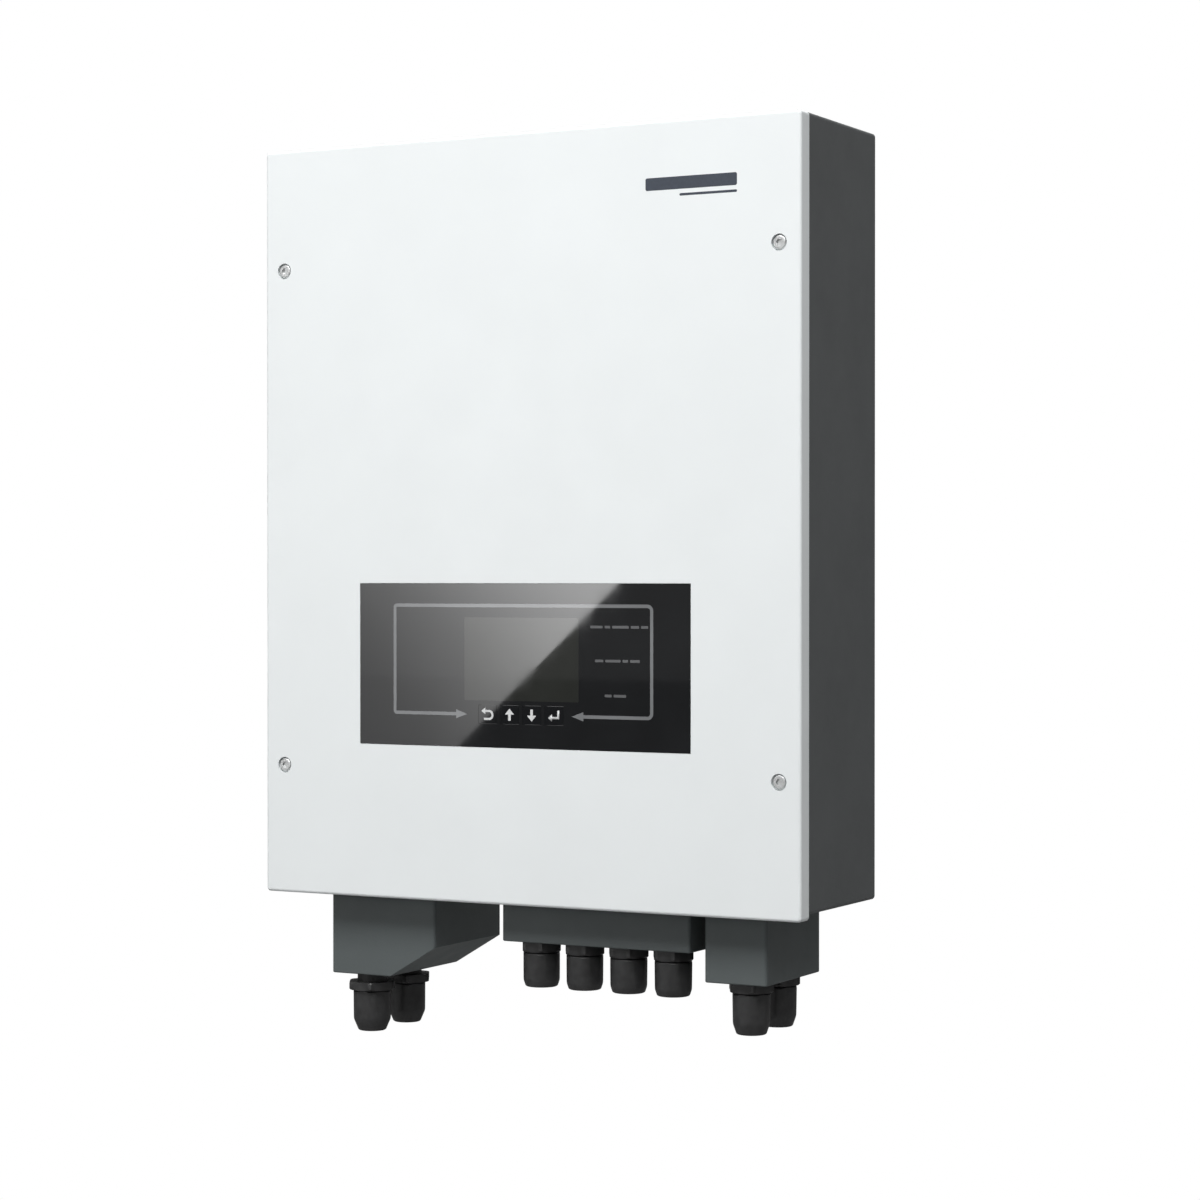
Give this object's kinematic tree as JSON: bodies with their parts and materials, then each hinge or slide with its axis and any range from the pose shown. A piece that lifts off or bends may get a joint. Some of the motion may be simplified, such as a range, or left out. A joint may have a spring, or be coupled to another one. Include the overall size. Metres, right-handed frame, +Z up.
{
  "type": "string inverter",
  "caption": "Wall-hung string inverter: flat white cover with a black display, dark metal housing, finned heat sink, and three boxes of cable glands underneath.",
  "frame": {"origin": "centre of the wall bracket's bolt pattern, on the wall plane", "axes": "+Z up, +Y into the wall, +X to the right of a person who faces the inverter; the front faces -Y"},
  "size_m": [0.4026, 0.173, 0.5955],
  "materials": {
    "white_coat": "satin polyester powder coat",
    "dark_coat": "fine-texture dark grey powder coat",
    "box_coat": "fine-texture grey-green powder coat",
    "bare_aluminium": "extruded, natural finish",
    "zinc_steel": "zinc-plated sheet",
    "screw_steel": "stainless screws",
    "panel_black": "glossy black acrylic",
    "key_black": "glossy black key caps",
    "black_nylon": "moulded nylon",
    "seal_rubber": "soft sealing rubber",
    "grey_rubber": "grey silicone gasket",
    "board_green": "solder-masked glass-fibre board",
    "part_black": "component bodies",
    "relay_blue": "relay housings",
    "can_sleeve": "sleeved capacitor cans",
    "potted_case": "cast inductor cases with potting",
    "choke_core": "wound ring cores",
    "terminal_green": "terminal bodies",
    "terminal_grey": "terminal bodies",
    "lcd_glass": "liquid crystal glass in a black frame",
    "led_lens": "clear lamp lenses",
    "ribbon_grey": "flat grey ribbon",
    "brass_screw": "nickel-free brass",
    "vent_black": "moulded vent plug"
  },
  "bodies": {
    "inverter": {"front_cover": "white_coat", "cover_screws": "screw_steel", "cover_gasket": "grey_rubber", "housing": "dark_coat", "vent_valve": "vent_black", "earth_terminal": "brass_screw", "heat_sink": "bare_aluminium", "heat_sink_gasket": "grey_rubber", "wall_bracket": "zinc_steel", "lock_screws": "screw_steel", "hanger_plate": "zinc_steel", "case_screws": "screw_steel", "display_panel": "panel_black", "display_tape": "seal_rubber", "lcd_module": "lcd_glass", "status_leds": "led_lens", "display_board": "board_green", "display_screws": "screw_steel", "power_board": "board_green", "control_board": "board_green", "board_pillars": "brass_screw", "dc_link_capacitors": "can_sleeve", "boost_inductors": "potted_case", "filter_chokes": "choke_core", "relays": "relay_blue", "power_modules": "part_black", "thermal_pads": "grey_rubber", "battery_terminals": "terminal_grey", "ac_terminals": "terminal_grey", "signal_terminals": "terminal_green", "ribbon_cable": "ribbon_grey", "left_gland_box": "box_coat", "middle_gland_box": "box_coat", "right_gland_box": "box_coat", "gland_box_gaskets": "seal_rubber", "gland_lock_nuts": "black_nylon", "left_gland_bodies": "black_nylon", "middle_gland_bodies": "black_nylon", "right_gland_bodies": "black_nylon", "key_switches": "part_black"},
    "key_back": {"key_back": "key_black"},
    "key_up": {"key_up": "key_black"},
    "key_down": {"key_down": "key_black"},
    "key_enter": {"key_enter": "key_black"},
    "left_front_seal": {"left_front_gland_seal": "seal_rubber"},
    "left_front_nut": {"left_front_gland_nut": "black_nylon"},
    "left_rear_seal": {"left_rear_gland_seal": "seal_rubber"},
    "left_rear_nut": {"left_rear_gland_nut": "black_nylon"},
    "middle_1_seal": {"middle_1_gland_seal": "seal_rubber"},
    "middle_1_nut": {"middle_1_gland_nut": "black_nylon"},
    "middle_2_seal": {"middle_2_gland_seal": "seal_rubber"},
    "middle_2_nut": {"middle_2_gland_nut": "black_nylon"},
    "middle_3_seal": {"middle_3_gland_seal": "seal_rubber"},
    "middle_3_nut": {"middle_3_gland_nut": "black_nylon"},
    "middle_4_seal": {"middle_4_gland_seal": "seal_rubber"},
    "middle_4_nut": {"middle_4_gland_nut": "black_nylon"},
    "right_front_seal": {"right_front_gland_seal": "seal_rubber"},
    "right_front_nut": {"right_front_gland_nut": "black_nylon"},
    "right_rear_seal": {"right_rear_gland_seal": "seal_rubber"},
    "right_rear_nut": {"right_rear_gland_nut": "black_nylon"}
  },
  "joints": [
    {"name": "key_back_press", "type": "slide", "parent": "inverter", "child": "key_back", "axis": [0, 1, 0], "range_m": [0, 0.0006], "stiffness_N_per_m": 2600},
    {"name": "key_up_press", "type": "slide", "parent": "inverter", "child": "key_up", "axis": [0, 1, 0], "range_m": [0, 0.0006], "stiffness_N_per_m": 2600},
    {"name": "key_down_press", "type": "slide", "parent": "inverter", "child": "key_down", "axis": [0, 1, 0], "range_m": [0, 0.0006], "stiffness_N_per_m": 2600},
    {"name": "key_enter_press", "type": "slide", "parent": "inverter", "child": "key_enter", "axis": [0, 1, 0], "range_m": [0, 0.0006], "stiffness_N_per_m": 2600},
    {"name": "left_front_nut_travel", "type": "slide", "parent": "inverter", "child": "left_front_seal", "axis": [0, 0, -1], "range_m": [0, 0.0075]},
    {"name": "left_front_nut_turn", "type": "hinge", "parent": "left_front_seal", "child": "left_front_nut", "pos_m": [-0.1405, -0.131, -0.4775], "axis": [0, 0, -1], "range_deg": [0, 1800]},
    {"name": "left_rear_nut_travel", "type": "slide", "parent": "inverter", "child": "left_rear_seal", "axis": [0, 0, -1], "range_m": [0, 0.0075]},
    {"name": "left_rear_nut_turn", "type": "hinge", "parent": "left_rear_seal", "child": "left_rear_nut", "pos_m": [-0.1405, -0.0865, -0.4775], "axis": [0, 0, -1], "range_deg": [0, 1800]},
    {"name": "middle_1_nut_travel", "type": "slide", "parent": "inverter", "child": "middle_1_seal", "axis": [0, 0, -1], "range_m": [0, 0.0075]},
    {"name": "middle_1_nut_turn", "type": "hinge", "parent": "middle_1_seal", "child": "middle_1_nut", "pos_m": [-0.00795, -0.131, -0.4439], "axis": [0, 0, -1], "range_deg": [0, 1800]},
    {"name": "middle_2_nut_travel", "type": "slide", "parent": "inverter", "child": "middle_2_seal", "axis": [0, 0, -1], "range_m": [0, 0.0075]},
    {"name": "middle_2_nut_turn", "type": "hinge", "parent": "middle_2_seal", "child": "middle_2_nut", "pos_m": [0.02455, -0.131, -0.4439], "axis": [0, 0, -1], "range_deg": [0, 1800]},
    {"name": "middle_3_nut_travel", "type": "slide", "parent": "inverter", "child": "middle_3_seal", "axis": [0, 0, -1], "range_m": [0, 0.0075]},
    {"name": "middle_3_nut_turn", "type": "hinge", "parent": "middle_3_seal", "child": "middle_3_nut", "pos_m": [0.05705, -0.131, -0.4439], "axis": [0, 0, -1], "range_deg": [0, 1800]},
    {"name": "middle_4_nut_travel", "type": "slide", "parent": "inverter", "child": "middle_4_seal", "axis": [0, 0, -1], "range_m": [0, 0.0075]},
    {"name": "middle_4_nut_turn", "type": "hinge", "parent": "middle_4_seal", "child": "middle_4_nut", "pos_m": [0.08955, -0.131, -0.4439], "axis": [0, 0, -1], "range_deg": [0, 1800]},
    {"name": "right_front_nut_travel", "type": "slide", "parent": "inverter", "child": "right_front_seal", "axis": [0, 0, -1], "range_m": [0, 0.0075]},
    {"name": "right_front_nut_turn", "type": "hinge", "parent": "right_front_seal", "child": "right_front_nut", "pos_m": [0.144, -0.1285, -0.4612], "axis": [0, 0, -1], "range_deg": [0, 1800]},
    {"name": "right_rear_nut_travel", "type": "slide", "parent": "inverter", "child": "right_rear_seal", "axis": [0, 0, -1], "range_m": [0, 0.0075]},
    {"name": "right_rear_nut_turn", "type": "hinge", "parent": "right_rear_seal", "child": "right_rear_nut", "pos_m": [0.144, -0.0885, -0.4612], "axis": [0, 0, -1], "range_deg": [0, 1800]}
  ],
  "couplings": [
    {"joint": "left_front_nut_turn", "follows": "left_front_nut_travel", "rad_per_m": 4188.8},
    {"joint": "left_rear_nut_turn", "follows": "left_rear_nut_travel", "rad_per_m": 4188.8},
    {"joint": "middle_1_nut_turn", "follows": "middle_1_nut_travel", "rad_per_m": 4188.8},
    {"joint": "middle_2_nut_turn", "follows": "middle_2_nut_travel", "rad_per_m": 4188.8},
    {"joint": "middle_3_nut_turn", "follows": "middle_3_nut_travel", "rad_per_m": 4188.8},
    {"joint": "middle_4_nut_turn", "follows": "middle_4_nut_travel", "rad_per_m": 4188.8},
    {"joint": "right_front_nut_turn", "follows": "right_front_nut_travel", "rad_per_m": 4188.8},
    {"joint": "right_rear_nut_turn", "follows": "right_rear_nut_travel", "rad_per_m": 4188.8}
  ]
}
